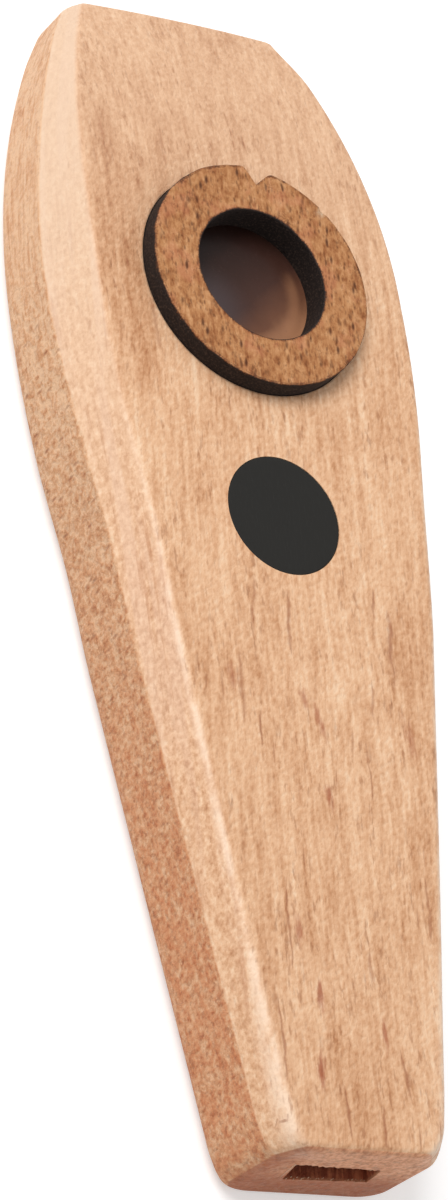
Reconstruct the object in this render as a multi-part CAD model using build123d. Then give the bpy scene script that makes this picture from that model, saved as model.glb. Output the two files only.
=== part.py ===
from build123d import *
from math import acos, atan2, cos, degrees, hypot, sin, sqrt
import os

# A wooden kazoo lying on its back, in millimetres. +X runs across the body, +Y along it towards the mouth end
# and +Z out of the front face. The origin is on the back face, at the middle of the length and of the width.

# Body outline, seen from the front
body_length = 125.0
widest_width = 43.4
widest_from_mouth = 33.4
narrow_end_width = 20.1
mouth_end_width = 28.0
shoulder_radius = 145.0
mouth_corner_radius = 3.9

# Body, seen from the side
body_thickness = 13.0
back_board_thickness = 4.4
beak_length = 32.4
mouth_end_thickness = 8.0
back_edge_radius = 2.5

# Bevel along both front edges: its reach across the face and down the wall, from the narrow end to the mouth
narrow_bevel_across = 1.9
narrow_bevel_drop = 3.1
shoulder_bevel_across = 3.2
shoulder_bevel_drop = 3.6
widest_bevel_across = 3.6
widest_bevel_drop = 4.3
mouth_bevel_across = 2.2
mouth_bevel_drop = 2.4

# Sanded edges round the narrow end
end_edge_radius = 0.8

# Ring that holds the membrane
ring_outer_diameter = 25.0
ring_width = 5.0
ring_thickness = 3.3
ring_proud = 2.2
ring_from_mouth = 34.3
ring_clearance = 0.05
notch_depth = 1.95
notch_width = 2.9
notch_shoulder_radius = 0.8
notch_turn_degrees = -4.5

# Membrane: the film's edge stays inside the wall of the ring's seat
membrane_edge_gap = 0.5
membrane_thickness = 0.1

# Air channels: one from the mouth end, across the glue line, and one in the front board to the narrow end
mouth_slot_width = 16.0
mouth_slot_height = 2.4
mouth_slot_floor = 3.0
outlet_width = 9.2
outlet_height = 4.0

# Round dot let into the front face
dot_diameter = 12.8
dot_thickness = 0.6
dot_from_ring = 25.9
dot_clearance = 0.03

# How far a cutting solid reaches past the face that it cuts
overrun = 2.0

# Places along the body
mouth_y = body_length / 2
narrow_y = -body_length / 2
widest_y = mouth_y - widest_from_mouth
beak_y = mouth_y - beak_length
ring_y = mouth_y - ring_from_mouth
dot_y = ring_y - dot_from_ring

# The head's wall is an arc from the widest place to the mouth end's corner
head_fall = (widest_width - mouth_end_width) / 2
head_radius = (widest_from_mouth**2 + head_fall**2) / (2 * head_fall)
head_x = widest_width / 2 - head_radius

# The shoulder's wall is an arc at the widest place, and the flank's wall is its tangent to the narrow end
shoulder_x = widest_width / 2 - shoulder_radius
corner_dx = narrow_end_width / 2 - shoulder_x
corner_dy = narrow_y - widest_y
tangent_angle = atan2(corner_dy, corner_dx) + acos(shoulder_radius / hypot(corner_dx, corner_dy))
tangent_x = shoulder_x + shoulder_radius * cos(tangent_angle)
tangent_y = widest_y + shoulder_radius * sin(tangent_angle)

# The film is as wide as the seat allows, and the hole under it is as wide as the ring's window
window_diameter = ring_outer_diameter - 2 * ring_width
membrane_diameter = ring_outer_diameter - 2 * membrane_edge_gap

# The beak's top is an arc that leaves the front face without a crease
beak_fall = body_thickness - mouth_end_thickness
beak_radius = (beak_length**2 + beak_fall**2) / (2 * beak_fall)


def wall_half_width(y):
    """Half the body's width at the wall, at a place along the body."""
    if y < tangent_y:
        flank_slope = (tangent_x - narrow_end_width / 2) / (tangent_y - narrow_y)
        return narrow_end_width / 2 + flank_slope * (y - narrow_y)
    if y < widest_y:
        return shoulder_x + sqrt(shoulder_radius**2 - (y - widest_y) ** 2)
    return head_x + sqrt(head_radius**2 - (y - widest_y) ** 2)


def face_height(y):
    """Height of the front face over the back face, at a place along the body."""
    if y < beak_y:
        return body_thickness
    return body_thickness - beak_radius + sqrt(beak_radius**2 - (y - beak_y) ** 2)


def bevel_reach(y):
    """The bevel's reach across the face and down the wall, at a place along the body."""
    places = (
        (narrow_y, narrow_bevel_across, narrow_bevel_drop),
        (tangent_y, shoulder_bevel_across, shoulder_bevel_drop),
        (widest_y, widest_bevel_across, widest_bevel_drop),
        (mouth_y, mouth_bevel_across, mouth_bevel_drop),
    )
    for (start_y, start_across, start_drop), (end_y, end_across, end_drop) in zip(places, places[1:]):
        if y <= end_y or end_y == mouth_y:
            share = (y - start_y) / (end_y - start_y)
            across = start_across + share * (end_across - start_across)
            drop = start_drop + share * (end_drop - start_drop)
            return across, drop


def body_outline():
    """The body's plan: flanks drawn out past the narrow end, shoulder and head arcs, and the mouth end."""
    tail_y = narrow_y - back_edge_radius - overrun
    tail_x = wall_half_width(tail_y)
    tangent_degrees = degrees(tangent_angle)
    head_degrees = degrees(atan2(widest_from_mouth, mouth_end_width / 2 - head_x))
    right_side = Curve() + [
        Line((tail_x, tail_y), (tangent_x, tangent_y)),
        CenterArc((shoulder_x, widest_y), shoulder_radius, tangent_degrees, -tangent_degrees),
        CenterArc((head_x, widest_y), head_radius, 0, head_degrees),
    ]
    ends = Curve() + [
        Line((-tail_x, tail_y), (tail_x, tail_y)),
        Line((-mouth_end_width / 2, mouth_y), (mouth_end_width / 2, mouth_y)),
    ]
    plan = make_face(right_side + ends + mirror(right_side, Plane.YZ))
    return fillet(plan.vertices().group_by(Axis.Y)[-1], mouth_corner_radius)


def beak_cut():
    """What is taken off above the beak's arc, over the full width."""
    block = Box(
        2 * widest_width,
        beak_length + overrun,
        beak_fall + overrun,
        align=(Align.CENTER, Align.MIN, Align.MIN),
    )
    block = Pos(0, beak_y, mouth_end_thickness) * block
    drum = Rot(0, 90, 0) * Cylinder(beak_radius, 2 * widest_width)
    return block - Pos(0, beak_y, body_thickness - beak_radius) * drum


def bevel_section(y):
    """The wedge that the bevel takes off at one place, with its long side on the bevel."""
    across, drop = bevel_reach(y)
    wall_x = wall_half_width(y)
    face_z = face_height(y)
    past_x = overrun * across / hypot(across, drop)
    past_z = overrun * drop / hypot(across, drop)
    inner = (wall_x - across - past_x, y, face_z + past_z)
    lower = (wall_x + past_x, y, face_z - drop - past_z)
    outer = (wall_x + past_x, y, face_z + past_z)
    return make_face(Polyline(inner, lower, outer, close=True))


def bevel_cut():
    """What the bevel takes off the right front edge: one smooth wedge through sections along the body."""
    flank_shares = (0.0, 0.35, 0.7)
    head_shares = (0.25, 0.5, 0.75)
    places = [narrow_y - overrun]
    places += [narrow_y + share * (tangent_y - narrow_y) for share in flank_shares]
    places += [tangent_y, (tangent_y + widest_y) / 2, widest_y]
    places += [widest_y + share * (mouth_y - widest_y) for share in head_shares]
    places += [mouth_y, mouth_y + overrun]
    return loft([bevel_section(y) for y in places])


def body_blank():
    """The glued blank, shaped outside and not yet hollow."""
    blank = extrude(body_outline(), amount=body_thickness)
    blank = fillet(blank.faces().sort_by(Axis.Z)[0].edges(), back_edge_radius)
    blank -= beak_cut()
    right_bevel = bevel_cut()
    blank -= right_bevel
    blank -= mirror(right_bevel, Plane.YZ)
    blank = split(blank, bisect_by=Plane.XZ.offset(-narrow_y), keep=Keep.BOTTOM)
    narrow_end = blank.faces().sort_by(Axis.Y)[0]
    return fillet(narrow_end.edges(), end_edge_radius)


def ring_seat():
    """The stepped hole in the front face: the ring's seat and the smaller hole under the membrane."""
    seat_depth = ring_thickness + membrane_thickness - ring_proud
    seat = Cylinder(
        ring_outer_diameter / 2 + ring_clearance,
        seat_depth + overrun,
        align=(Align.CENTER, Align.CENTER, Align.MIN),
    )
    hole = Cylinder(
        window_diameter / 2,
        body_thickness - back_board_thickness + overrun,
        align=(Align.CENTER, Align.CENTER, Align.MIN),
    )
    seat = Pos(0, ring_y, body_thickness - seat_depth) * seat
    return seat + Pos(0, ring_y, back_board_thickness - overrun) * hole


def channel(end_y, end_width, floor_z, height):
    """An air channel from one end of the body to the membrane's hole, as wide there as the hole."""
    reach_y = end_y + overrun if end_y > ring_y else end_y - overrun
    corners = [
        (-end_width / 2, reach_y),
        (end_width / 2, reach_y),
        (end_width / 2, end_y),
        (window_diameter / 2, ring_y),
        (-window_diameter / 2, ring_y),
        (-end_width / 2, end_y),
    ]
    plan = make_face(Polyline(*corners, close=True)) + Pos(0, ring_y) * Circle(window_diameter / 2)
    return Pos(0, 0, floor_z) * extrude(plan, amount=height)


def dot_disc(radius):
    """The dot's disc, flush with the front face."""
    disc = Cylinder(radius, dot_thickness, align=(Align.CENTER, Align.CENTER, Align.MAX))
    return Pos(0, dot_y, body_thickness) * disc


def body_halves():
    """The front and back boards, parted at the glue line and hollowed."""
    blank = body_blank()
    glue_line = Plane.XY.offset(back_board_thickness)
    front = split(blank, bisect_by=glue_line, keep=Keep.TOP)
    back = split(blank, bisect_by=glue_line, keep=Keep.BOTTOM)
    mouth_channel = channel(mouth_y, mouth_slot_width, mouth_slot_floor, mouth_slot_height)
    front -= ring_seat()
    front -= channel(narrow_y, outlet_width, back_board_thickness, outlet_height)
    front -= dot_disc(dot_diameter / 2)
    return front - mouth_channel, back - mouth_channel


def membrane_ring():
    """The flat ring, with a pry notch in its rim on the mouth side."""
    ring_plan = Circle(ring_outer_diameter / 2) - Circle(window_diameter / 2)
    apex_y = ring_outer_diameter / 2 - notch_depth
    flare = notch_width / 2 * (notch_depth + overrun) / notch_depth
    rim_y = apex_y + notch_depth + overrun
    ring_plan -= make_face(Polyline((0, apex_y), (flare, rim_y), (-flare, rim_y), close=True))
    lips = ring_plan.vertices().sort_by(Axis.Y)[-2:]
    ring_plan = fillet(lips, notch_shoulder_radius)
    ring = extrude(Rot(0, 0, notch_turn_degrees) * ring_plan, amount=ring_thickness)
    return Pos(0, ring_y, body_thickness + ring_proud - ring_thickness) * ring


def membrane():
    """The thin film disc between the ring and the ledge of its seat."""
    film = Cylinder(
        membrane_diameter / 2,
        membrane_thickness,
        align=(Align.CENTER, Align.CENTER, Align.MAX),
    )
    return Pos(0, ring_y, body_thickness + ring_proud - ring_thickness) * film


front_half, back_half = body_halves()
pieces = {
    "front_half": front_half,
    "back_half": back_half,
    "membrane_ring": membrane_ring(),
    "membrane": membrane(),
    "dot_inlay": dot_disc(dot_diameter / 2 - dot_clearance),
}

os.makedirs("parts", exist_ok=True)
for name, shape in pieces.items():
    export_step(shape, f"parts/{name}.step")
    print(name, round(shape.volume, 1), "mm3")
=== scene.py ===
import random
import bpy
import bmesh
from math import acos, atan2, cos, exp, hypot, pi, radians, sin, sqrt
from mathutils import Matrix, Vector, noise


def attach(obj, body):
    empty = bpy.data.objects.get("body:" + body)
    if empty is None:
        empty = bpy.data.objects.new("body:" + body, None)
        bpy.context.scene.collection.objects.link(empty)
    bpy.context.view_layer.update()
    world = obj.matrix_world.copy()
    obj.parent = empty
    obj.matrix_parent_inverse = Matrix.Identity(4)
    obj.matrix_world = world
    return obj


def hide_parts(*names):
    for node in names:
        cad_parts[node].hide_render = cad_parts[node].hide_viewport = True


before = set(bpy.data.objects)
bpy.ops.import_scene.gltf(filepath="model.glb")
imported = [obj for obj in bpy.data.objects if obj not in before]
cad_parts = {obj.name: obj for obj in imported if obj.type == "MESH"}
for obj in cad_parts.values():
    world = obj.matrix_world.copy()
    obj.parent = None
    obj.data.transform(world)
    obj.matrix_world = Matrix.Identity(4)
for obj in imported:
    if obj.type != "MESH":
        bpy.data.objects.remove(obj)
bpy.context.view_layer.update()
scene = bpy.context.scene
mm = 0.001
print("frame loaded:", sorted(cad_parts))


# small helpers

def clamp(value, low, high):
    return max(low, min(high, value))


def smooth(low, high, value):
    t = clamp((value - low) / (high - low), 0, 1)
    return t * t * (3 - 2 * t)


def linear(red, green, blue):
    # 0-255 screen colour to Blender's linear colour
    out = []
    for c in (red, green, blue):
        c = c / 255
        out.append(c / 12.92 if c <= 0.04045 else ((c + 0.055) / 1.055) ** 2.4)
    return (*out, 1)


def makePiece(name, points, faces):
    # points in millimetres, in the CAD frame
    mesh = bpy.data.meshes.new(name)
    mesh.from_pydata([(x * mm, y * mm, z * mm) for x, y, z in points], [], faces)
    tidy = bmesh.new()
    tidy.from_mesh(mesh)
    bmesh.ops.remove_doubles(tidy, verts=tidy.verts, dist=1e-7)
    bmesh.ops.recalc_face_normals(tidy, faces=tidy.faces)
    tidy.to_mesh(mesh)
    tidy.free()
    piece = bpy.data.objects.new(name, mesh)
    scene.collection.objects.link(piece)
    return piece


def addLoops(points, faces, loops):
    # a wall through loops of points, closed at both ends
    start, count = len(points), len(loops[0])
    for loop in loops:
        points += loop
    for k in range(len(loops) - 1):
        for i in range(count):
            a, b = start + k * count + i, start + k * count + (i + 1) % count
            faces.append((a, b, b + count, a + count))
    last = len(points) - count
    faces.append(tuple(start + i for i in reversed(range(count))))
    faces.append(tuple(last + i for i in range(count)))


def stack(name, loops):
    points, faces = [], []
    addLoops(points, faces, loops)
    return makePiece(name, points, faces)


def circle(radius, y, z, count):
    turns = [2 * pi * i / count for i in range(count)]
    return [(radius * cos(turn), y + radius * sin(turn), z) for turn in turns]


def carve(piece, cutters):
    # boolean cuts, applied to the mesh
    for cutter in cutters:
        cut = piece.modifiers.new("carve", "BOOLEAN")
        cut.operation = "DIFFERENCE"
        cut.solver = "EXACT"
        cut.object = cutter
    graph = bpy.context.evaluated_depsgraph_get()
    carved = bpy.data.meshes.new_from_object(piece.evaluated_get(graph))
    carved.name = piece.name
    piece.modifiers.clear()
    piece.data = carved
    for cutter in cutters:
        bpy.data.objects.remove(cutter)


def softShade(piece, angle):
    for face in piece.data.polygons:
        face.use_smooth = True
    piece.data.set_sharp_from_angle(angle=radians(angle))


def paint(piece, name, values):
    # one number for each vertex, read by the materials
    layer = piece.data.attributes.new(name=name, type="FLOAT", domain="POINT")
    layer.data.foreach_set("value", values)


# node helpers: values are sockets or plain numbers

graph = {}  # the node tree that the helpers below add to


def openTree(owner):
    # an empty tree for a material or the world
    owner.use_nodes = True
    owner.node_tree.nodes.clear()
    graph["tree"] = owner.node_tree


def feed(socket, value):
    # a link from another socket, or a plain value
    if isinstance(value, bpy.types.NodeSocket):
        graph["tree"].links.new(value, socket)
    else:
        socket.default_value = value


def addNode(kind, inputs=None, **settings):
    made = graph["tree"].nodes.new(kind)
    for key, value in settings.items():
        setattr(made, key, value)
    for key, value in (inputs or {}).items():
        feed(made.inputs[key], value)
    return made


def math(operation, a, b=0, clampIt=False):
    return addNode("ShaderNodeMath", {0: a, 1: b}, operation=operation, use_clamp=clampIt).outputs[0]


def times(total, *others):
    for other in others:
        total = math("MULTIPLY", total, other)
    return total


def plus(total, *others):
    for other in others:
        total = math("ADD", total, other)
    return total


def minus(a, b):
    return math("SUBTRACT", a, b)


def vector(operation, a, b=(0, 0, 0)):
    made = addNode("ShaderNodeVectorMath", {0: a, 1: b}, operation=operation)
    return made.outputs["Value" if operation in ("LENGTH", "DISTANCE", "DOT_PRODUCT") else "Vector"]


def remap(value, low, high, toLow=0, toHigh=1):
    sockets = {"Value": value, "From Min": low, "From Max": high, "To Min": toLow, "To Max": toHigh}
    return addNode("ShaderNodeMapRange", sockets, interpolation_type="SMOOTHSTEP").outputs[0]


def mix(share, a, b):
    # each colour is a socket or a 0-255 screen colour
    a, b = (linear(*colour) if isinstance(colour, tuple) else colour for colour in (a, b))
    return addNode("ShaderNodeMix", {0: share, 6: a, 7: b}, data_type="RGBA").outputs[2]


def over(colour, *layers):
    # a colour with others laid over it, each by its share
    for share, top in layers:
        colour = mix(share, colour, top)
    return colour


def placeOf():
    # the piece's own coordinates, in millimetres
    return vector("MULTIPLY", addNode("ShaderNodeTexCoord").outputs["Object"], (1 / mm,) * 3)


def stretched(place, scales):
    # scales across and along the body, and the one upwards where it isn't as the first
    return vector("MULTIPLY", place, (*scales, scales[0])[:3])


def turned(place, *degrees):
    turn = tuple(radians(d) for d in degrees)
    return addNode("ShaderNodeMapping", {"Vector": place, "Rotation": turn}).outputs[0]


def wander(place, scales, reach):
    # the place, shifted a little by a slow noise
    sockets = {"Vector": stretched(place, scales), "Scale": 1, "Detail": 2}
    slow = addNode("ShaderNodeTexNoise", sockets).outputs["Color"]
    shift = vector("MULTIPLY", vector("ADD", slow, (-0.5, -0.5, -0.5)), reach)
    return vector("ADD", place, shift)


def cloud(place, scales, detail=3, roughness=0.55):
    sockets = {"Scale": 1, "Detail": detail, "Roughness": roughness}
    sockets["Vector"] = stretched(place, scales)
    return addNode("ShaderNodeTexNoise", sockets).outputs["Fac"]


def ticks(place, scales, kept, core, edge):
    # short pores: one per cell of a stretched Voronoi, some cells left empty
    sockets = {"Vector": stretched(place, scales), "Scale": 1, "Randomness": 1}
    cells = addNode("ShaderNodeTexVoronoi", sockets, feature="F1")
    pore = remap(cells.outputs["Distance"], edge, core)
    split = addNode("ShaderNodeSeparateColor", {0: cells.outputs["Color"]})
    return times(pore, remap(split.outputs[0], kept + 0.04, kept - 0.04))


def layerOf(name):
    return addNode("ShaderNodeAttribute", attribute_name=name).outputs["Fac"]


def toneRamp(tone, colours):
    ramp = addNode("ShaderNodeValToRGB", {0: tone})
    stops = ramp.color_ramp.elements
    while len(stops) < len(colours):
        stops.new(0.5)
    for i, colour in enumerate(colours):
        stops[i].position = i / (len(colours) - 1)
        stops[i].color = linear(*colour)
    return ramp.outputs[0]


def addUp(parts):
    # weighted sum: each part is a value and its weight, centred on a half
    terms = []
    for value, weight in parts:
        sockets = {0: value, 1: weight, 2: -0.5 * weight}
        terms.append(addNode("ShaderNodeMath", sockets, operation="MULTIPLY_ADD").outputs[0])
    return plus(*terms)


def textures(look, places):
    # a look's noises, pores, the levels of noises that show, and sums of noises
    noises = {name: cloud(places[on], *rest) for name, (on, *rest) in look["noises"].items()}
    pores = {name: ticks(places[on], *rest) for name, (on, *rest) in look["pores"].items()}
    shown = {name: remap(noises[source], *rest) for name, (source, *rest) in look["levels"].items()}
    sums = {}
    for name, weights in look["sums"].items():
        sums[name] = addUp([(noises[source], weight) for source, weight in weights.items()])
    return noises, pores, shown, sums


def newMaterial(name):
    material = bpy.data.materials.new(name)
    openTree(material)
    shader = addNode("ShaderNodeBsdfPrincipled")
    addNode("ShaderNodeOutputMaterial", {0: shader.outputs[0]})
    return material, shader


def finishLook(shader, look, colour, rough, height):
    # a look's bump is its strength and its depth in millimetres
    strength, deep = look["bump"]
    bump = addNode("ShaderNodeBump", {"Height": height, "Strength": strength, "Distance": deep * mm}).outputs[0]
    sockets = {"Base Color": colour, "Roughness": rough, "Normal": bump, "Specular IOR Level": look["specular"]}
    for name, value in sockets.items():
        feed(shader.inputs[name], value)


# body sizes in millimetres, as in the CAD; the last rows are what the sander and the hand left
body = {
    "length": 125, "widest": 43.4, "widestFromMouth": 33.4, "narrow": 20.1, "mouth": 28,
    "shoulderRadius": 145, "thick": 13, "seam": 4.4, "beak": 32.4, "mouthThick": 8, "backRadius": 2.5,
    "ringFromMouth": 34.3, "dotFromRing": 25.9,
    # left and right: place along the body, reach across the face and down the wall
    "bevels": {
        -1: ((-62.5, 1.7, 2.9), (8.5, 3.9, 3), (29.1, 3.8, 4.1), (62.5, 1.6, 1.6)),
        1: ((-62.5, 2.1, 3.6), (-30, 1.85, 3.4), (-8, 1.8, 3.4), (11, 2.75, 4.3), (29.1, 3.15, 4.7),
            (62.5, 2.4, 3)),
    },
    "mouthCorner": {-1: 2.6, 1: 6.8}, "wornCorner": {-1: 1.4, 1: 2.4}, "wornShare": 0.55, "wornReach": 1.3,
    # hollows in the walls: side, place along the body, half length, depth
    "trims": ((1, 50, 30, 0.75), (1, 62.5, 6, 0.9), (1, -62.5, 7, 0.2), (-1, -1, 11, 0.3),
              (-1, -62.5, 4, 0.4)),
    "endRound": 0.8, "mouthRound": 0.7, "wallSoft": 0.3, "ridgeSoft": (0.75, 0.45), "rowStep": 0.4,
    "waves": 0.035, "waveScale": (0.11, 0.07, 0.14), "sawMarks": 0.2, "sawScale": (0.85, -0.5, 0.9),
    "sawStart": (-28, -8), "sawEnd": (32, 20),
    # rise, fall over the square of the width, middle, and how far the bow reaches in
    "mouthBow": (0.12, 0.0022, 3, 6),
}
mouthY = body["length"] / 2
narrowY = -mouthY
widestY = mouthY - body["widestFromMouth"]
beakY = mouthY - body["beak"]
ringY = mouthY - body["ringFromMouth"]
dotY = ringY - body["dotFromRing"]
seamZ = body["seam"]
faceZ = body["thick"]
headFall = (body["widest"] - body["mouth"]) / 2
headRadius = (body["widestFromMouth"] ** 2 + headFall ** 2) / (2 * headFall)
headX = body["widest"] / 2 - headRadius
shoulderX = body["widest"] / 2 - body["shoulderRadius"]
cornerX = body["narrow"] / 2 - shoulderX
cornerY = narrowY - widestY
tangent = atan2(cornerY, cornerX) + acos(body["shoulderRadius"] / hypot(cornerX, cornerY))
tangentX = shoulderX + body["shoulderRadius"] * cos(tangent)
tangentY = widestY + body["shoulderRadius"] * sin(tangent)
beakFall = faceZ - body["mouthThick"]
beakRadius = (body["beak"] ** 2 + beakFall ** 2) / (2 * beakFall)


def wallHalf(y):
    if y < tangentY:
        slope = (tangentX - body["narrow"] / 2) / (tangentY - narrowY)
        return body["narrow"] / 2 + slope * (y - narrowY)
    if y < widestY:
        return shoulderX + sqrt(body["shoulderRadius"] ** 2 - (y - widestY) ** 2)
    return headX + sqrt(headRadius ** 2 - (y - widestY) ** 2)


def faceTop(y):
    if y < beakY:
        return faceZ
    return faceZ - beakRadius + sqrt(beakRadius ** 2 - (y - beakY) ** 2)


def bevelAt(y, side):
    # between two places the bevel changes mostly evenly, with a little ease
    places = body["bevels"][side]
    for (startY, startAcross, startDrop), (endY, endAcross, endDrop) in zip(places, places[1:]):
        if y <= endY or endY == places[-1][0]:
            t = smooth(startY, endY, y) * 0.4 + clamp((y - startY) / (endY - startY), 0, 1) * 0.6
            return startAcross + (endAcross - startAcross) * t, startDrop + (endDrop - startDrop) * t


def mouthArc(side):
    # centre of the rounded mouth corner, and where it leaves the head's wall
    radius = body["mouthCorner"][side]
    arcY = mouthY - radius
    arcX = headX + sqrt((headRadius - radius) ** 2 - (arcY - widestY) ** 2)
    turnY = widestY + headRadius * sin(atan2(arcY - widestY, arcX - headX))
    return radius, arcX, arcY, turnY


mouthArcs = {side: mouthArc(side) for side in (-1, 1)}


def sanded(y, side):
    # half width that the sander left, with the worn corners of the narrow end
    lost = 0
    for trimSide, middle, span, deep in body["trims"]:
        if trimSide == side:
            lost += deep * smooth(span, 0, abs(y - middle))
    worn = body["wornCorner"][side]
    lost += body["wornShare"] * worn * clamp(1 - (y - narrowY) / (body["wornReach"] * worn), 0, 1) ** 2
    return wallHalf(y) - lost


def mouthCut(y, side):
    # what the rounded corner of the mouth end takes off the wall
    radius, arcX, arcY, turnY = mouthArcs[side]
    if y < turnY:
        return 0
    return wallHalf(y) - arcX - sqrt(max(0, radius ** 2 - (y - arcY) ** 2))


def softCorner(a, corner, b, reach, steps):
    # a rounded corner between two straight runs
    start = corner + (a - corner).normalized() * min(reach, (a - corner).length * 0.48)
    end = corner + (b - corner).normalized() * min(reach, (b - corner).length * 0.48)
    run = []
    for i in range(steps + 1):
        t = i / steps
        run.append(start * (1 - t) ** 2 + corner * (2 * t * (1 - t)) + end * t ** 2)
    return run


def straight(a, b, steps):
    return [a.lerp(b, i / steps) for i in range(1, steps)]


def frontProfile(y, side, inset):
    # from the seam up the wall, over the bevel and across to the middle
    half = sanded(y, side)
    across, drop = bevelAt(y, side)
    top = faceTop(y)
    run = hypot(across, drop)
    reach = (drop * half + across * (top - drop)) / run - inset
    half -= mouthCut(y, side) + inset
    top -= inset
    lower = Vector((half, clamp((run * reach - drop * half) / across, seamZ + 0.6, top - 0.05)))
    upper = Vector((clamp((run * reach - across * top) / drop, 0.5, half - 0.03), top))
    seam = Vector((half, seamZ))
    middle = Vector((0, top))
    low = smooth(30, -20, y)
    soft = body["ridgeSoft"][0] * low + body["ridgeSoft"][1] * (1 - low)
    wallRidge = softCorner(seam, lower, upper, body["wallSoft"], 6)
    faceRidge = softCorner(lower, upper, middle, soft, 8)
    points = [seam] + straight(seam, wallRidge[0], 8) + wallRidge
    points += straight(wallRidge[-1], faceRidge[0], 14) + faceRidge
    return points + straight(faceRidge[-1], middle, 24) + [middle]


def backProfile(y, side, inset):
    # from the seam down the wall, round the back edge and across to the middle
    half = sanded(y, side) - mouthCut(y, side) - inset
    radius = body["backRadius"]
    rise = clamp((y - (mouthY - radius)) / radius, 0, 1)
    low = max(inset, radius * (1 - sqrt(max(0, 1 - rise ** 2))))
    seam = Vector((half, seamZ))
    points = [seam] + straight(seam, Vector((half, radius)), 3)
    for i in range(9):
        turn = i / 8 * pi / 2
        points.append(Vector((half - radius + radius * cos(turn), radius - (radius - low) * sin(turn))))
    middle = Vector((0, low))
    return points + straight(points[-1], middle, 10) + [middle]


def stations():
    # places along the body with the sanded rounding of both ends: (y, inset)
    rows = []
    for i in range(13):
        turn = i / 12 * pi / 2
        rows.append((narrowY + body["endRound"] * (1 - sin(turn)), body["endRound"] * (1 - cos(turn))))
    rows.reverse()
    y = narrowY + body["endRound"] + 0.3
    bend = max(body["mouthCorner"].values())
    while y < mouthY - bend:
        rows.append((y, 0))
        y += body["rowStep"]
    edge = mouthY - body["mouthRound"]
    for i in range(1, 20):
        y = mouthY - bend + bend * sin(i / 20 * pi / 2)
        if y < edge - 0.02:
            rows.append((y, 0))
    for i in range(6):
        turn = i / 5 * pi / 2
        rows.append((edge + body["mouthRound"] * sin(turn), body["mouthRound"] * (1 - cos(turn)) * 0.9))
    return rows


def wave(x, y, z):
    # hand-sanded unevenness, and saw marks on the left wall below the widest place
    waveX, waveY, waveZ = body["waveScale"]
    even = body["waves"] * noise.noise(Vector((x * waveX, y * waveY, z * waveZ + 3.1)))
    if x > 0:
        return even
    sawn = smooth(*body["sawStart"], y) * smooth(*body["sawEnd"], y)
    sawn *= smooth(sanded(y, -1) - 0.3, sanded(y, -1), -x)
    sawY, lean, sawZ = body["sawScale"]
    return even + sawn * body["sawMarks"] * noise.noise(Vector((1.7, y * sawY + z * lean, z * sawZ)))


def mouthLean(x, y):
    # the mouth end is sanded to a slight bow, a little lower on the left
    rise, fall, middle, reach = body["mouthBow"]
    return smooth(mouthY - reach, mouthY, y) * (rise - fall * (x - middle) ** 2)


def loftHalf(name, profile, closing):
    # one board: the same profile walked along the body, both sides, with flat ends
    loops = []
    for y, inset in stations():
        right = profile(y, 1, inset)
        left = profile(y, -1, inset)
        loop = []
        for x, z in [(p.x, p.y) for p in right] + [(-p.x, p.y) for p in reversed(left[:-1])]:
            push = wave(x, y, z)
            outX = x / 22
            loop.append((x + push * outX, y + mouthLean(x, y), z + push * closing * (1 - abs(outX))))
        loops.append(loop)
    return stack(name, loops)


# hollows cut into both boards; the outlet's corners are where the saw left them
hollow = {
    "seatRadius": 12.55, "seatFloor": 11.8, "windowRadius": 7.5, "dotRadius": 6.4, "dotDeep": 0.6,
    "outletWidth": 9.2, "outletHeight": 4, "slotWidth": 16, "slotFloor": 3, "slotHeight": 2.4,
    "outletLow": ((-4.6, 4.38), (4.4, 4.85)), "outletHigh": ((-5.7, 8.6), (3.9, 8.35)), "ragged": 0.42,
    "outletDeep": 5, "past": 3,
}
outletLeft, outletRight = hollow["outletHigh"]
floorLeft, floorRight = hollow["outletLow"]


def between(a, b, t):
    return a[0] + (b[0] - a[0]) * t, a[1] + (b[1] - a[1]) * t


def drum(name, radius, y, low, high):
    return stack(name, [circle(radius, y, z, 240) for z in (low, high)])


def outletMouth():
    # the sawn slot in the narrow end, with ragged upper and lower edges
    dice = random.Random(7)
    outline = []
    for i in range(25):
        t = i / 24
        x, z = between(floorLeft, floorRight, t)
        outline.append((x, z + 0.4 * hollow["ragged"] * dice.random() * smooth(0, 0.2, t)))
    outline += [between(floorRight, outletRight, 0.12 + 0.76 * i / 4) for i in range(5)]
    for i in range(1, 36):
        x, z = between(outletRight, outletLeft, i / 36)
        outline.append((x, z - hollow["ragged"] * (dice.random() ** 2 - 0.1)))
    outline += [between(outletLeft, floorLeft, 0.06 + 0.86 * i / 4) for i in range(5)]
    ends = (narrowY - hollow["past"], narrowY + hollow["outletDeep"])
    return stack("outletMouth", [[(x, y, z) for x, z in outline] for y in ends])


def channel(name, startY, width, low, high):
    # an air channel from one end, as wide as the window where it meets it
    radius = hollow["windowRadius"]
    plan = [(-width / 2, startY), (width / 2, startY), (radius, ringY)]
    flip = -1 if startY > ringY else 1
    for i in range(1, 24):
        turn = pi * i / 24
        plan.append((radius * cos(turn), ringY + flip * radius * sin(turn)))
    plan.append((-radius, ringY))
    return stack(name, [[(x, y, z) for x, y in plan] for z in (low, high)])


# shares painted on the boards, with the widths of their soft borders
zones = {
    "names": ("wall", "bevel", "faceRidge", "wallRidge", "ends", "across"), "wallStart": (0.95, 1.04),
    "bevelStart": (-0.15, 0.35), "ridgeShift": 0.1, "ridgeWide": 0.3, "ridgeWider": 0.3,
    "widerFrom": (-30, -58), "wallRidgeWide": 0.5, "endDeep": (0.3, 0.2),
}


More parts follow.
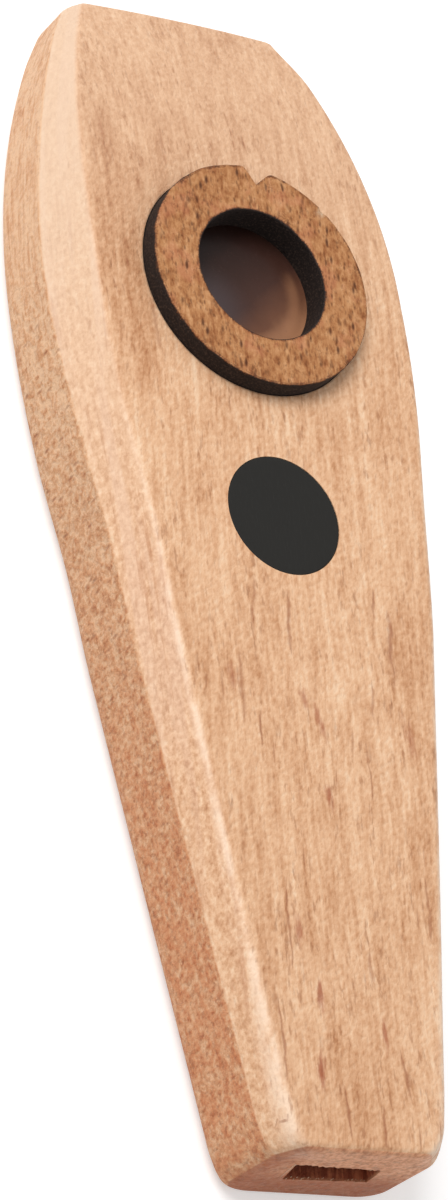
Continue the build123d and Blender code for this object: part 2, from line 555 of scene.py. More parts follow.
def markZones(piece):
    # how far each vertex is wall, bevel, ridge (worn, with a painted highlight) and end, and how far it is past
    # the face's ridge
    layers = {name: [] for name in zones["names"]}
    for vertex in piece.data.vertices:
        x, y, z = (c / mm for c in vertex.co)
        y = clamp(y - mouthLean(x, y), narrowY, mouthY)
        side = 1 if x > 0 else -1
        across, drop = bevelAt(y, side)
        ridgeX = sanded(y, side) - across
        past = abs(x) - ridgeX
        down = (faceTop(y) - z) / drop
        isWall = smooth(*zones["wallStart"], down)
        wide = zones["ridgeWide"] + zones["ridgeWider"] * smooth(*zones["widerFrom"], y)
        fromEdge = hypot(sanded(y, side) - mouthCut(y, side) - abs(x), (1 - down) * drop)
        isEnd = y < narrowY + zones["endDeep"][0] or y > mouthY - zones["endDeep"][1]
        layers["wall"].append(isWall)
        layers["bevel"].append(smooth(*zones["bevelStart"], past) * (1 - isWall))
        layers["faceRidge"].append(exp(-(((past - zones["ridgeShift"]) / wide) ** 2)) * (1 - isWall))
        layers["wallRidge"].append(exp(-(fromEdge / zones["wallRidgeWide"]) ** 2))
        layers["ends"].append(1 if isEnd else 0)
        layers["across"].append(past)
    for name, values in layers.items():
        paint(piece, name, values)


slotRoof = hollow["slotFloor"] + hollow["slotHeight"]
slotStart = mouthY + hollow["past"]
outletRoof = seamZ + hollow["outletHeight"]
aboveFace = faceZ + hollow["past"]
frontBoard = loftHalf("frontBoard", frontProfile, 1)
carve(frontBoard, [
    drum("seatCut", hollow["seatRadius"], ringY, hollow["seatFloor"], aboveFace),
    drum("windowCut", hollow["windowRadius"], ringY, seamZ - hollow["past"], faceZ),
    drum("dotCut", hollow["dotRadius"], dotY, faceZ - hollow["dotDeep"], aboveFace),
    outletMouth(),
    channel("outletCut", narrowY + hollow["past"], hollow["outletWidth"], seamZ - 0.5, outletRoof),
    channel("slotCutFront", slotStart, hollow["slotWidth"], hollow["slotFloor"], slotRoof),
])
backBoard = loftHalf("backBoard", backProfile, -1)
carve(backBoard, [
    channel("slotCutBack", slotStart, hollow["slotWidth"], hollow["slotFloor"], seamZ + hollow["past"]),
])
for board in (frontBoard, backBoard):
    softShade(board, 38)
    markZones(board)
print("boards:", len(frontBoard.data.vertices), len(backBoard.data.vertices), "vertices")


# pale torn fibres on the edges of the outlet
fibres = {"count": 34, "long": (0.2, 0.9), "thick": 0.055, "burr": ((-5.9, 8.8), (-5.1, 4.5)), "lip": 0.35}


def makeFibres():
    dice = random.Random(21)
    short, long = fibres["long"]
    strands = []
    for i in range(fibres["count"]):
        t = (i + dice.random()) / fibres["count"]
        x = between(outletRight, outletLeft, t)[0]
        root = Vector((x, narrowY + 0.05 + 0.5 * dice.random(), outletRight[1] + 0.1))
        reach = short + (long - short) * dice.random() ** 2
        aim = Vector((0.5 * (dice.random() - 0.3), 0.25 * dice.random(), -1))
        strands.append((root, root + aim.normalized() * reach))
        x, z = between(floorLeft, floorRight, t)
        root = Vector((x, narrowY + 0.02 + 0.2 * dice.random(), z - 0.1))
        aim = Vector((0.1 * (dice.random() - 0.5), 0.05, fibres["lip"] * (0.4 + dice.random())))
        strands.append((root, root + aim))
    (topX, topZ), (endX, endZ) = fibres["burr"]
    strands.append((Vector((topX, narrowY - 0.02, topZ)), Vector((endX, narrowY - 0.03, endZ))))
    points, faces = [], []
    for root, tip in strands:
        half = fibres["thick"] * (0.6 + dice.random())
        loops = []
        for spot, size in ((root, half), (root.lerp(tip, 0.5), half * 0.8), (tip, half * 0.15)):
            sides = ((-size, 0), (0, -size), (size, 0), (0, size))
            loops.append([(spot.x + dx, spot.y + dy, spot.z) for dx, dy in sides])
        addLoops(points, faces, loops)
    return makePiece("slotFibres", points, faces)


slotFibres = makeFibres()
softShade(slotFibres, 60)
print("outlet fibres made")


# the ring that holds the membrane
ring = {
    "outer": 12.5, "inner": 7.3, "low": 11.9, "high": 15.2, "edge": 0.14, "count": 960, "rough": 0.06,
    "notchDeep": 1.9, "notchHalf": {-1: 1.4, 1: 1.85}, "notchTurn": -4.5, "lip": 0.55,
    "chipTurn": 43.8, "chipWide": 0.55, "chipDeep": 0.14, "scorch": 0.26, "scorched": 0.42,
    "wallRows": (1.2, 2.2),
}


def ringOuter(turn):
    # outer radius at an angle clockwise from the mouth end, with the pry notch
    radius = ring["outer"]
    away = turn + radians(ring["notchTurn"])
    away = (away + pi) % (2 * pi) - pi
    if abs(away) < 0.5:
        apex = ring["outer"] - ring["notchDeep"]
        slope = ring["notchHalf"][1 if away > 0 else -1] / ring["notchDeep"]
        gap = cos(away) - abs(sin(away)) / slope
        flank = apex / gap if gap > 0.05 else 99
        blend = ring["lip"]
        h = clamp(0.5 + 0.5 * (flank - radius) / blend, 0, 1)
        radius = flank * (1 - h) + radius * h - blend * h * (1 - h)
    return radius


def ringSection(outer):
    # radius, height and burning, from the foot of the inner wall over the top to the foot of the outer wall
    low, high, edge, scorch = (ring[key] for key in ("low", "high", "edge", "scorch"))
    rows = [low] + [low + rise for rise in ring["wallRows"]]
    section = [(ring["inner"], z, 1) for z in rows + [high - edge]]
    for k in range(1, 5):
        a = k / 4 * pi / 2
        section.append((ring["inner"] + edge * (1 - cos(a)), high - edge + edge * sin(a), 1 - 0.14 * k))
    start, end = ring["inner"] + edge, outer - edge
    fades = [(t, high, ring["scorched"] * (1 - t)) for t in (0.3, 0.65, 1)]
    section += [(start + scorch * t, z, burnt) for t, z, burnt in fades]
    section += [(start + scorch + (end - start - 2 * scorch) * k / 9, high, 0) for k in range(1, 9)]
    section += [(end - scorch * t, z, burnt) for t, z, burnt in reversed(fades)]
    for k in range(5):
        a = k / 4 * pi / 2
        section.append((end + edge * sin(a), high - edge + edge * cos(a), 0.2 + 0.11 * k))
    return section + [(outer, z, 1) for z in reversed(rows)]


def makeRing():
    points, faces, char, bare = [], [], [], []
    count, high = ring["count"], ring["high"]
    for i in range(count):
        turn = 2 * pi * i / count
        outer = ringOuter(turn) + ring["rough"] * (noise.noise(Vector((8 * sin(turn), 8 * cos(turn), 0))) - 0.6)
        far = abs((turn - radians(ring["chipTurn"]) + pi) % (2 * pi) - pi) * ring["outer"]
        chip = ring["chipDeep"] * smooth(ring["chipWide"], ring["chipWide"] * 0.3, far)
        section = ringSection(outer)
        for r, z, burnt in section:
            if chip and r > outer - 1:
                near = smooth(outer - 0.9, outer - 0.05, r)
                z -= chip * near * (1 if z > high - 0.5 else 0)
                r -= chip * 0.6 * near * smooth(high - 1.2, high - 0.2, z)
                burnt *= 0.25 if z > high - 0.7 else 1
            x, y = r * sin(turn), r * cos(turn)
            if z > high - 0.02:
                z += 0.02 * noise.noise(Vector((x * 0.5, y * 0.3, 7)))
            points.append((x, ringY + y, z))
            char.append(burnt)
            shown = smooth(outer - 1.3, outer - 0.3, r) * smooth(high - 0.7, high - 0.2, z)
            bare.append(smooth(ring["chipWide"] * 1.3, 0.2, far) * shown)
    size = len(section)
    for i in range(count):
        j = (i + 1) % count
        for k in range(size):
            m = (k + 1) % size
            faces.append((i * size + k, i * size + m, j * size + m, j * size + k))
    piece = makePiece("membraneRing", points, faces)
    paint(piece, "char", char)
    paint(piece, "bare", bare)
    return piece


membraneRing = makeRing()
softShade(membraneRing, 40)
print("ring:", len(membraneRing.data.vertices), "vertices")


# the membrane: a thin film with a slight sag and a few soft wrinkles
film = {
    "radius": 12, "top": 11.9, "thick": 0.1, "sag": 0.12, "sagTo": 3, "wrinkle": 0.05, "wrinkleScale": 0.35,
    "wrinkleReach": 2.5, "rings": 26, "count": 96,
}


def makeFilm():
    count, rings, window = film["count"], film["rings"], hollow["windowRadius"]
    points, faces = [], []
    for below in (0, film["thick"]):
        start = len(points)
        spots = [(0, 0, 0)]
        for r in range(1, rings + 1):
            spots += circle(film["radius"] * r / rings, 0, 0, count)
        for x, y, z in spots:
            loose = smooth(window, window - film["wrinkleReach"], hypot(x, y))
            crease = noise.noise(Vector((x * film["wrinkleScale"] + 2, y * film["wrinkleScale"], 1)))
            z = film["top"] - film["sag"] * smooth(window - 0.2, film["sagTo"], hypot(x, y))
            points.append((x, ringY + y, z + film["wrinkle"] * loose * crease - below))
        for i in range(count):
            j = (i + 1) % count
            faces.append((start, start + 1 + i, start + 1 + j))
            for r in range(rings - 1):
                a = start + 1 + r * count
                faces.append((a + i, a + count + i, a + count + j, a + j))
    rim, under = 1 + (rings - 1) * count, len(points) // 2
    for i in range(count):
        j = (i + 1) % count
        faces.append((rim + i, under + rim + i, under + rim + j, rim + j))
    return makePiece("membraneFilm", points, faces)


membraneFilm = makeFilm()
softShade(membraneFilm, 40)

# the plain black dot, a hair below the face, with an eased edge
dot = {"radius": 6.37, "deep": 0.6, "below": 0.015, "edge": 0.1, "count": 180, "rows": (0.85, 0.6, 0.35, 0.1)}


def makeDot():
    high = faceZ - dot["below"]
    rows = [(dot["radius"], faceZ - dot["deep"])]
    for k in range(5):
        a = k / 4 * pi / 2
        rows.append((dot["radius"] - dot["edge"] * (1 - cos(a)), high - dot["edge"] * (1 - sin(a))))
    rows += [(dot["radius"] * t, high) for t in dot["rows"]]
    return stack("dotInlay", [circle(r, dotY, z, dot["count"]) for r, z in rows])


dotInlay = makeDot()
softShade(dotInlay, 40)
print("film and dot made")


# wood of the body: tones from pale to dark, and marks at listed places on the front
wood = {
    "face": ((246, 209, 174), (236, 190, 151), (219, 168, 128), (196, 140, 99), (164, 104, 68)),
    "side": ((240, 197, 158), (225, 173, 131), (207, 148, 105), (183, 117, 77), (148, 87, 54)),
    "sideRed": ((226, 166, 122), (216, 148, 104), (204, 131, 88), (184, 109, 70), (152, 84, 52)),
    "pore": (144, 80, 40), "line": (146, 76, 40), "fleck": (160, 78, 44), "pale": (232, 204, 178),
    "rosy": (238, 200, 174), "sootAndContactShade": (62, 44, 36), "edge": (251, 220, 194), "smudge": (118, 68, 50),
    "inside": (142, 69, 45), "insideRed": (200, 116, 79), "insideDark": (46, 22, 16),
    "endFace": (247, 180, 138), "endRed": (174, 98, 64), "specular": 0.25, "bump": (0.5, 0.1),
    "bevelSlip": 0.045, "inkShares": {"dabs": 0.46, "short": 0.36, "long": 0.5},
    # what each noise lies on, its scales, detail and roughness
    "noises": {
        "mottle": ("aslant", (2.4, 1.4), 3, 0.6), "dabs": ("grain", (1.9, 0.5)),
        "cluster": ("grain", (0.32, 0.1), 2, 0.5), "fibre": ("grain", (2, 0.22), 3, 0.6),
        "streak": ("grain", (0.9, 0.055), 2, 0.5), "patch": ("grain", (0.14, 0.05), 2, 0.5),
        "fray": ("grain", (2.4, 0.6)), "patchy": ("still", (0.6, 0.3)),
        "bevelStreak": ("bevel", (1.2, 0.035, 1), 3, 0.6), "bevelFibre": ("bevel", (2.8, 0.7, 1), 3, 0.65),
        "blush": ("bevel", (0.7, 0.03, 1), 2, 0.5), "thread": ("bevel", (1.9, 0.07, 1)),
        "scuff": ("upright", (1.8, 1.2), 4, 0.6), "lump": ("upright", (1.1, 0.95), 4, 0.65),
        "grit": ("upright", (1.7, 1.3), 3, 0.6), "redness": ("still", (0.8, 0.55), 4, 0.62),
        "smudge": ("still", (1.1, 1, 1.5), 4, 0.6),
    },
    # the same for pores, with the share of cells kept, and the size of a pore's core and edge
    "pores": {
        "short": ("grain", (2.2, 0.5), 0.5, 0.04, 0.38),
        "long": ("grain", (1.5, 0.14), 0.5, 0.03, 0.28),
        "saw": ("upright", (1.3, 0.42), 0.55, 0, 0.34),
    },
    # a noise, the span of it that counts, and what the span becomes
    "levels": {
        "dabs": ("dabs", 0.54, 0.7), "cluster": ("cluster", 0.42, 0.6, 0.25, 1),
        "streaky": ("streak", 0.42, 0.58),
        "blush": ("blush", 0.45, 0.62), "patchy": ("patchy", 0.38, 0.6, 0.25, 1), "grit": ("grit", 0.5, 0.7),
        "thread": ("thread", 0.55, 0.68, 0, 0.38), "red": ("redness", 0.4, 0.58, 0.3, 1),
        "endRed": ("mottle", 0.35, 0.7, 0, 0.6), "smudge": ("smudge", 0.48, 0.68, 0, 0.42),
        "inside": ("fibre", 0.42, 0.68), "rough": ("mottle", 0.3, 0.7, 0.46, 0.64),
    },
    # weights of noises in a tone or a height
    "sums": {
        "face": {"mottle": 0.9, "fibre": 0.85, "streak": 0.65, "patch": 0.5}, "fray": {"fray": 2},
        "bevel": {"bevelStreak": 0.45, "bevelFibre": 1, "mottle": 1.25},
        "side": {"scuff": 1.7, "mottle": 1.05, "lump": 0.7},
        "sideGrain": {"fibre": 1.3, "streak": 0.6, "patch": 0.35},
        "height": {"mottle": 2.8, "fibre": 0.5}, "torn": {"scuff": 3.2, "lump": 2},
    },
    # changes along the body: from and to in millimetres, and the values there
    "along": {
        "low": (25, -25), "calm": (20, 45, 1, 0.85), "tone": (22, 45, 0.37, 0.45),
        "bevelLow": (-25, 5, 0.05, 0), "bevelHead": (5, 35, 0, -0.14), "rosy": (-45, -10, 0.1, 0.36),
        "thread": (45, 25, 0.25, 1), "litBevel": (-10, 40, 0.06, 0.45), "paleHead": (20, 50, 0, 0.2),
        "sawStart": (-28, -8), "sawEnd": (34, 22), "side": (14, 38, 1, 0.35),
        "sideGrain": (0, 30, 0.3, 1), "sideToneAndShade": (45, -35, 0.08, 0.26), "red": (12, -42, 0.1, 1),
        "grit": (15, -25, 0.2, 0.5), "endFootShade": (0, -20, 0.2, 1), "endLeftShade": (0, -20),
        "endSawn": (0, -20, 0.25, 1), "deep": (narrowY + 0.5, narrowY + 2.9, 0, 0.86), "deepShadeEnd": (-35, -45),
        "channelHalf": (narrowY + 2, narrowY + 22, 6.3, 8.4), "channelRoof": (30, mouthY, 11.95, 7.2),
        "inNarrow": (narrowY + 0.05, narrowY + 0.4), "inMouth": (mouthY - 0.05, mouthY - 0.4),
    },
    # the same across the body, up its height, and over shares of other things
    "spans": {
        "sides": (-1, 1, 0, 5), "litLeft": (4, -4, 0.3, 1), "endLeftShade": (-4, -8.5, 0, 0.85),
        "endFootShade": (8.5, 3.5), "channelWall": (0, 0.25), "channelRoof": (-0.05, 0.1),
        "channelFloor": (2.75, 2.95),
        "sootShadeRing": (12.74, 12.5, 0, 0.55), "calmLow": (0, 1, 0.18, -0.09), "markedLow": (0, 1, 0.8, 0.6),
        "wornHighlightLow": (0, 1, 0.06, 0.68), "sawTicks": (0, 1, 0.06, 0.7), "sawDeep": (0, 1, 1, 2),
    },
    # x, y, half length, half width, lean, strength
    "lines": (
        (-5, -7.8, 3.52, 0.27, 0.11, 0.54), (-1.2, -9.6, 3.74, 0.39, 0.12, 0.59),
        (9.2, -6, 2.2, 0.27, 0.1, 0.59), (10.4, -10.9, 4.84, 0.42, 0.11, 0.64),
        (-5.9, -21, 2.2, 0.25, 0.12, 0.54), (7.2, -17, 2.2, 0.31, 0.03, 0.49),
        (5.6, -24.2, 3.63, 0.27, 0.03, 0.54), (-7.6, -16.9, 4.18, 0.49, 0.1, 0.44),
        (-6, -40.8, 5.06, 0.25, 0.06, 0.64), (2.8, -44.4, 1.98, 0.32, 0.05, 0.54),
        (10.1, -37.8, 3.74, 0.27, 0.02, 0.49), (-8.3, -52.1, 4.62, 0.25, 0.04, 0.59),
        (-2.3, -58.9, 2.86, 0.3, 0.01, 0.59), (1.4, -60.1, 1.98, 0.27, 0.05, 0.59),
        (4.8, -55, 2.86, 0.27, -0.06, 0.59), (-9.45, -59.8, 0.5, 0.16, 0.03, 0.6),
        (-9, -59.8, 0.16, 0.6, 0.1, 0.55), (-8.8, -59.6, 0.45, 0.16, 0.03, 0.55),
        (-20.9, 19.6, 4.6, 0.45, -0.36, 0.3), (-19.6, 22.6, 5, 0.4, -0.3, 0.25),
        (-12.2, 21.5, 3.3, 0.37, -0.07, 0.44), (-7.9, 43.3, 3.3, 0.37, 0.07, 0.39),
        (-15, 43.3, 4.62, 0.37, -0.04, 0.39),
    ),
    "flecks": (
        (-4.6, -55, 2.2, 0.75, 0.06, 0.8), (-3.6, -47.8, 2.2, 0.62, 0.03, 0.76),
        (-5, -41.2, 1.98, 0.53, 0.01, 0.64), (0.7, -27.3, 1.65, 0.62, -0.05, 0.72),
        (-0.7, -17.2, 1.32, 0.62, -0.08, 0.6), (0.7, -19.4, 2.42, 0.58, -0.16, 0.6),
        (3.1, -50.9, 2.42, 0.45, 0.06, 0.68), (11.1, -20.2, 3.08, 0.88, -0.1, 0.4),
        (-8.6, -16, 1.65, 0.75, 0, 0.48),
    ),
    # broad areas a shade darker or paler, with the change of tone last
    "areas": (
        (-14.3, 31, 20, 5, 0.04, 0.3), (-15.6, 46.1, 13, 4, 0.05, 0.14), (-8.5, 45, 14, 2.6, 0.02, 0.12),
        (0.7, 47.8, 16, 4, 0.05, -0.02), (4.5, 48, 12, 1.8, 0, 0.10), (-11.5, -20, 14, 2.5, -0.05, 0.08),
        (12.8, -12, 14, 2, 0.03, 0.10), (0, -58, 12, 10, 0, 0.10), (4, -14, 12, 3, 0, -0.08),
    ),
}


def handMarks(place, marks, soft, join, fray=None, thin=False):
    # long soft ellipses on the front face, with frayed outlines; thin ones end bluntly
    total = None
    for x, y, long, wide, lean, strength in marks:
        sockets = {"Location": (x, y, faceZ), "Rotation": (0, 0, -lean), "Scale": (wide, long, 4)}
        sockets["Vector"] = place
        spot = addNode("ShaderNodeMapping", sockets, vector_type="TEXTURE").outputs[0]
        if thin:
            split = addNode("ShaderNodeSeparateXYZ", {0: spot}).outputs
            off, run, deep = (math("ABSOLUTE", part) for part in split)
            away = plus(off, math("POWER", run, 4), deep)
        else:
            away = vector("LENGTH", spot)
        if fray is not None:
            away = plus(away, fray)
        mark = remap(away, 1, soft, 0, strength)
        total = mark if total is None else math(join, total, mark)
    return total


def makeWood():
    material, shader = newMaterial("bodyWood")
    still = placeOf()
    x, y, z = addNode("ShaderNodeSeparateXYZ", {0: still}).outputs
    wall, bevel, faceRidge, wallRidge, ends, across = (layerOf(name) for name in zones["names"])

    def fade(name):
        return remap(y, *wood["along"][name])

    def span(value, name):
        return remap(value, *wood["spans"][name])

    # the grain wanders a little, the bevel's streaks follow the bevel, the wall's marks stand upright
    slip = plus(across, times(y, wood["bevelSlip"]))
    sides = span(x, "sides")
    noises, pores, shown, sums = textures(wood, {
        "still": still, "aslant": turned(still, 0, 0, 32), "upright": turned(still, -84, 0, 0),
        "grain": turned(wander(still, (0.06, 0.03), (2.6, 0, 2.6)), 2, 0, 3.5),
        "bevel": addNode("ShaderNodeCombineXYZ", {0: slip, 1: y, 2: sides}).outputs[0],
    })
    longPore = times(pores["long"], shown["streaky"])
    wavy = wander(still, (0.25, 0.22), (1.4, 0, 0))
    lines = handMarks(wavy, wood["lines"], 0, "MAXIMUM", times(sums["fray"], 0.9), True)
    flecks = handMarks(still, wood["flecks"], 0.1, "MAXIMUM", sums["fray"])
    areas = handMarks(still, wood["areas"], 0, "ADD")

    # the sanded head and the upper bevel are calmer than the rest
    low = fade("low")
    calm = minus(fade("calm"), times(bevel, span(low, "calmLow")))
    marked = minus(1, times(bevel, span(low, "markedLow")))
    marked = times(calm, minus(1, wall), marked)
    tone = plus(times(sums["face"], minus(1, bevel)), times(sums["bevel"], bevel))
    tone = plus(times(tone, calm), fade("tone"), times(areas, minus(1, bevel)))
    tone = plus(tone, times(bevel, plus(fade("bevelLow"), fade("bevelHead"))))
    # worn ridges with a painted highlight: the face ridge paler, and the wall ridge a little paler, as edges
    # that catch the light
    worn = times(faceRidge, shown["patchy"], span(low, "wornHighlightLow"))
    tone = minus(tone, plus(times(worn, 0.6), times(wallRidge, 0.2)))
    # painted light: the bevel paler on the left, which faces the lamp, more so towards the head; the head is a
    # little paler all over
    pale = times(bevel, fade("litBevel"), span(x, "litLeft"))
    face = over(
        toneRamp(tone, wood["face"]), (times(shown["blush"], fade("rosy"), bevel), wood["rosy"]),
        (times(shown["thread"], bevel, fade("thread")), wood["side"][3]), (worn, wood["edge"]),
        (plus(pale, fade("paleHead")), wood["pale"]),
    )

    # the wall's torn grain lies in lumps, with saw marks below the widest place
    sawn = times(fade("sawStart"), fade("sawEnd"))
    sawTick = times(pores["saw"], span(sawn, "sawTicks"))
    sideToneAndShade = times(sums["side"], fade("side"))
    # with painted shade: the walls darker towards the narrow end
    sideToneAndShade = plus(sideToneAndShade, times(sums["sideGrain"], fade("sideGrain")), fade("sideToneAndShade"))
    side = over(
        toneRamp(sideToneAndShade, wood["side"]),
        (times(shown["red"], fade("red")), toneRamp(sideToneAndShade, wood["sideRed"])),
        (sawTick, wood["line"]), (times(shown["grit"], fade("grit")), wood["line"]),
    )

    # pores and listed marks on the face, and soot with painted contact shade round the ring's foot
    colour = mix(wall, face, side)
    ink = {"dabs": (shown["dabs"], "pore"), "short": (pores["short"], "pore"), "long": (longPore, "line")}
    for name, (mark, look) in ink.items():
        share = times(mark, shown["cluster"], wood["inkShares"][name], marked)
        colour = mix(share, colour, wood[look])
    fromRing = vector("DISTANCE", still, (0, ringY, faceZ))
    fromRing = plus(fromRing, addUp(((noises["mottle"], 0.5), (sums["fray"], 0.08))))
    # soot and painted contact shade in a ragged ring where the ring stands on the face
    sootAndContactShade = span(fromRing, "sootShadeRing")
    colour = over(colour, (lines, wood["line"]), (sootAndContactShade, wood["sootAndContactShade"]), (flecks, wood["fleck"]))

    # the sawn ends: painted shade, darker and redder at the foot and at the left, most on the narrow end; a
    # random red mottle and smudges
    foot = times(span(z, "endFootShade"), fade("endFootShade"))
    left = times(span(x, "endLeftShade"), fade("endLeftShade"))
    endColour = mix(math("MAXIMUM", foot, left), wood["endFace"], wood["endRed"])
    for name in ("endRed", "smudge"):
        endColour = mix(times(shown[name], fade("endSawn")), endColour, wood[name])

    # walls of the air channels, found by their place, in painted shade: a dark red-brown that grows darker
    # further in
    insideColour = mix(shown["inside"], wood["inside"], wood["insideRed"])
    insideColour = mix(times(fade("deep"), fade("deepShadeEnd")), insideColour, wood["insideDark"])
    beside = span(minus(fade("channelHalf"), math("ABSOLUTE", x)), "channelWall")
    under = span(minus(fade("channelRoof"), z), "channelRoof")
    inside = times(beside, span(z, "channelFloor"), under, fade("inNarrow"), fade("inMouth"))
    colour = over(colour, (times(ends, 0.8), endColour), (inside, insideColour))

    height = minus(sums["height"], addUp(((pores["short"], 0.7), (longPore, 0.7))))
    torn = minus(times(sums["torn"], span(sawn, "sawDeep")), times(sawTick, 1.4))
    rough = minus(shown["rough"], times(faceRidge, 0.1))
    finishLook(shader, wood, colour, rough, plus(height, times(torn, wall)))
    return material


bodyWood = makeWood()
for board in (frontBoard, backBoard):
    board.data.materials.clear()
    board.data.materials.append(bodyWood)

# bare torn wood of the outlet's fibres
fibreLook = {"pale": (232, 198, 168), "dusk": (196, 150, 116), "speck": (5, 5, 1.5), "roughness": (0.6, 0.8)}


def makeFibreLook():
    material, shader = newMaterial("tornFibres")
    speck = cloud(placeOf(), fibreLook["speck"], 3, 0.6)
    feed(shader.inputs["Base Color"], mix(remap(speck, 0.35, 0.7), fibreLook["pale"], fibreLook["dusk"]))
    feed(shader.inputs["Roughness"], remap(speck, 0.3, 0.7, *fibreLook["roughness"]))
    return material


slotFibres.data.materials.append(makeFibreLook())

# darker wood of the ring, burnt on its cut walls; its tables are laid out as the body wood's are
ringLook = {
    "ramp": ((220, 170, 124), (204, 150, 104), (184, 128, 83), (154, 97, 58), (110, 62, 36)),
    "pore": (78, 40, 23), "bare": (206, 176, 146), "blush": (192, 120, 88),
    "char": (38, 31, 29), "ash": (74, 60, 53), "scorch": (96, 50, 30), "specular": 0.15, "bump": (0.5, 0.12),
    "noises": {
        "mottle": ("grain", (2, 1.2), 3, 0.62), "fibre": ("grain", (2.4, 0.35), 3, 0.6),
        "streak": ("grain", (0.8, 0.1), 2, 0.5), "dabs": ("grain", (2.2, 0.9), 3, 0.6),
        "grit": ("still", (5, 5), 3, 0.6), "blot": ("still", (1, 0.8)),
        "blush": ("still", (0.35, 0.3), 3, 0.6), "smoke": ("still", (0.5, 0.5)),
    },
    "pores": {
        "wide": ("grain", (1.4, 0.5), 0.75, 0.08, 0.37),
        "fine": ("grain", (2.1, 0.9), 0.5, 0.05, 0.38),
    },
    "levels": {
        "rows": ("streak", 0.4, 0.58, 0.4, 1), "dabs": ("dabs", 0.54, 0.7, 0, 0.5), "ash": ("grit", 0.45, 0.75),
        "blush": ("blush", 0.5, 0.68, 0, 0.4), "bare": ("grit", 0.3, 0.6, 0.3, 0.9),
        "rough": ("mottle", 0.3, 0.7, 0.5, 0.72),
    },
    "sums": {
        "tone": {"mottle": 1, "fibre": 0.7, "streak": 0.5, "blot": 0.8}, "burn": {"grit": 0.9, "smoke": 0.9},
        "height": {"mottle": 1, "fibre": 0.5, "grit": 0.5},
    },
}


def makeRingWood():
    material, shader = newMaterial("ringWood")
    still = placeOf()
    places = {"still": still, "grain": turned(still, 6, 0, 5)}
    pores, shown, sums = textures(ringLook, places)[1:]
    pore = times(pores["wide"], shown["rows"])
    # the cuts are burnt unevenly, from brown to black
    burn = plus(layerOf("char"), sums["burn"])
    burnt = remap(burn, 0.3, 0.65)
    colour = over(
        toneRamp(plus(sums["tone"], 0.51), ringLook["ramp"]), (shown["blush"], ringLook["blush"]),
        (shown["dabs"], ringLook["pore"]), (times(pores["fine"], 0.62), ringLook["pore"]),
        (times(pore, 0.9), ringLook["pore"]), (remap(burn, 0.1, 0.45, 0, 0.7), ringLook["scorch"]),
        (burnt, mix(shown["ash"], ringLook["char"], ringLook["ash"])),
        (times(layerOf("bare"), shown["bare"]), ringLook["bare"]),
    )
    rough = plus(shown["rough"], times(burnt, 0.2))
    finishLook(shader, ringLook, colour, rough, minus(sums["height"], pore))
    return material


membraneRing.data.materials.append(makeRingWood())

# smoky film: painted shade under the ring's upper wall, with a painted warm glow of lit wood seen through it
# that grows towards the lower right
filmLook = {
    "shadeToGlowTones": ((34, 17, 13), (54, 33, 27), (71, 45, 37), (112, 73, 54), (182, 129, 94)), "slateReflection": (78, 68, 70),
    "dust": (96, 74, 66), "towards": (0.64, -0.77, 0), "from": -5, "to": 7.2, "drift": 2,
    "skyReflectionPlace": (-4.2, -2.6, 0), "sky": (5.5, 0.5, 0, 0.7), "alpha": 0.95,
    "litBandIn": (4.6, 5.8), "litBandOut": (6.8, 6), "litBandReach": (0.4, 3.4, 0, 0.35),
    "roughness": (0.28, 0.4), "specular": 0.16, "bump": (0.2, 0.4),
}


def makeFilmLook():
    material, shader = newMaterial("membraneFilm")
    place = placeOf()
    middle = vector("SUBTRACT", place, (0, ringY, film["top"]))
    drift = cloud(place, (0.3, 0.3), 3, 0.5)
    dust = cloud(place, (3, 3), 4, 0.6)
    reach = vector("DOT_PRODUCT", middle, filmLook["towards"])
    reach = plus(reach, addUp(((drift, filmLook["drift"]),)))
    share = math("DIVIDE", minus(reach, filmLook["from"]), filmLook["to"] - filmLook["from"], True)
    # a painted reflection of the sky, slate grey towards the left and the narrow end
    away = vector("DISTANCE", middle, filmLook["skyReflectionPlace"])
    # a painted highlight: a thin brighter band beside the right wall
    outward = vector("LENGTH", middle)
    litBand = times(remap(outward, *filmLook["litBandIn"]), remap(outward, *filmLook["litBandOut"]))
    litBand = times(litBand, remap(reach, *filmLook["litBandReach"]))
    colour = over(
        toneRamp(share, filmLook["shadeToGlowTones"]), (remap(away, *filmLook["sky"]), filmLook["slateReflection"]),
        (litBand, filmLook["shadeToGlowTones"][-1]), (remap(dust, 0.55, 0.8, 0, 0.2), filmLook["dust"]),
    )
    finishLook(shader, filmLook, colour, remap(dust, 0.3, 0.7, *filmLook["roughness"]), drift)
    shader.inputs["Alpha"].default_value = filmLook["alpha"]
    return material


membraneFilm.data.materials.append(makeFilmLook())

# matt black of the dot
dotLook = {
    "black": (42, 41, 39), "worn": (48, 47, 45), "grain": (6, 0.8), "roughness": (0.7, 0.85),
    "specular": 0.1, "bump": (0.15, 0.05),
}


def makeDotLook():
    material, shader = newMaterial("dotBlack")
    grain = cloud(placeOf(), dotLook["grain"], 4, 0.6)
    colour = mix(remap(grain, 0.4, 0.8), dotLook["black"], dotLook["worn"])
    finishLook(shader, dotLook, colour, remap(grain, 0.3, 0.7, *dotLook["roughness"]), grain)
    return material


dotInlay.data.materials.append(makeDotLook())
print("materials made")

# what each piece rides on and stands for
for piece, bodyName, node, slotName in (
    (frontBoard, "body", "front_half", "body_wood"),
    (backBoard, "body", "back_half", "body_wood"),
    (dotInlay, "body", "dot_inlay", "dot"),
    (membraneRing, "ring", "membrane_ring", "ring_wood"),
    (membraneFilm, "film", "membrane", "film"),
):
    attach(piece, bodyName)
    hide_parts(node)
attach(slotFibres, "body")

# floor, light and camera
studio = {
    "floor": 3, "floorBelow": 0.0001, "floorTone": 0.8, "floorGlow": (0.2, 0.9, 0.4, 0.72), "worldLight": 0.45,
    # place, size and power
    "lamps": {"keyLamp": ((-0.36, 0.28, 0.66), 0.5, 4.4), "fillLamp": ((0.45, -0.1, 0.5), 0.7, 0.3)},
    "aim": (0, 0, 0.006),
}


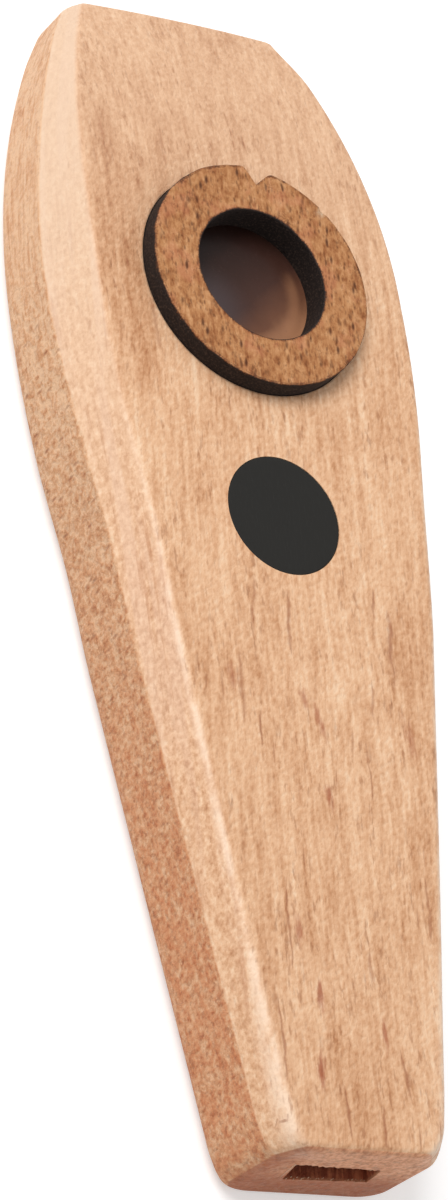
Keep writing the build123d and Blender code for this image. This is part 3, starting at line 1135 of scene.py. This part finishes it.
def seenShare():
    # 1 where a surface is seen, straight or in a reflection, and 0 where it only gives light
    path = addNode("ShaderNodeLightPath").outputs
    seen = math("MAXIMUM", path["Is Camera Ray"], path["Is Glossy Ray"])
    return math("MAXIMUM", seen, path["Is Transmission Ray"])


def makeFloor():
    half = studio["floor"] / 2
    mesh = bpy.data.meshes.new("floor")
    corners = [(-half, -half, 0), (half, -half, 0), (half, half, 0), (-half, half, 0)]
    mesh.from_pydata(corners, [], [(0, 1, 2, 3)])
    floor = bpy.data.objects.new("floor", mesh)
    scene.collection.objects.link(floor)
    floor.location.z = -studio["floorBelow"]
    material = bpy.data.materials.new("paleFloor")
    openTree(material)
    matt = addNode("ShaderNodeBsdfDiffuse", {"Color": (*(studio["floorTone"],) * 3, 1)})
    away = vector("LENGTH", addNode("ShaderNodeTexCoord").outputs["Object"])
    level = times(seenShare(), remap(away, *studio["floorGlow"]))
    glow = addNode("ShaderNodeEmission", {"Strength": level})
    both = addNode("ShaderNodeAddShader", {0: matt.outputs[0], 1: glow.outputs[0]})
    addNode("ShaderNodeOutputMaterial", {0: both.outputs[0]})
    mesh.materials.append(material)


def makeLamp(name, place, size, power):
    lamp = bpy.data.lights.new(name, "AREA")
    lamp.shape = "DISK"
    lamp.size = size
    lamp.energy = power
    holder = bpy.data.objects.new(name, lamp)
    holder.location = place
    holder.rotation_mode = "QUATERNION"
    holder.rotation_quaternion = (Vector(studio["aim"]) - Vector(place)).to_track_quat("-Z", "Y")
    scene.collection.objects.link(holder)


def makeWorld():
    world = bpy.data.worlds.new("studio")
    scene.world = world
    openTree(world)
    strength = plus(times(seenShare(), 1 - studio["worldLight"]), studio["worldLight"])
    sky = addNode("ShaderNodeBackground", {"Color": (1, 1, 1, 1), "Strength": strength})
    addNode("ShaderNodeOutputWorld", {0: sky.outputs[0]})


makeFloor()
for lampName, lampSettings in studio["lamps"].items():
    makeLamp(lampName, *lampSettings)
makeWorld()

# the photograph's viewpoint, measured from the ring on the front face
view = {
    "place": (-209.40, -196.94, 290.08), "focal": 4068.4, "tall": 1200, "sensor": 36, "clip": 0.01,
    "right": (0.846076, -0.121304, 0.519076), "down": (0.124418, -0.901930, -0.413572),
    "ahead": (0.518339, 0.414496, -0.748009),
}


def makeCamera():
    lens = bpy.data.cameras.new("photoCamera")
    lens.sensor_width = view["sensor"]
    lens.lens = view["focal"] / view["tall"] * lens.sensor_width
    lens.clip_start = view["clip"]
    camera = bpy.data.objects.new("photoCamera", lens)
    right, down, ahead = (Vector(view[key]) for key in ("right", "down", "ahead"))
    turn = Matrix((right, -down, -ahead)).transposed().to_4x4()
    spot = Vector(view["place"]) + Vector((0, ringY, faceZ))
    camera.matrix_world = Matrix.Translation(spot * mm) @ turn
    scene.collection.objects.link(camera)
    scene.camera = camera


makeCamera()
scene.view_settings.view_transform = "Standard"
print("studio and camera set")
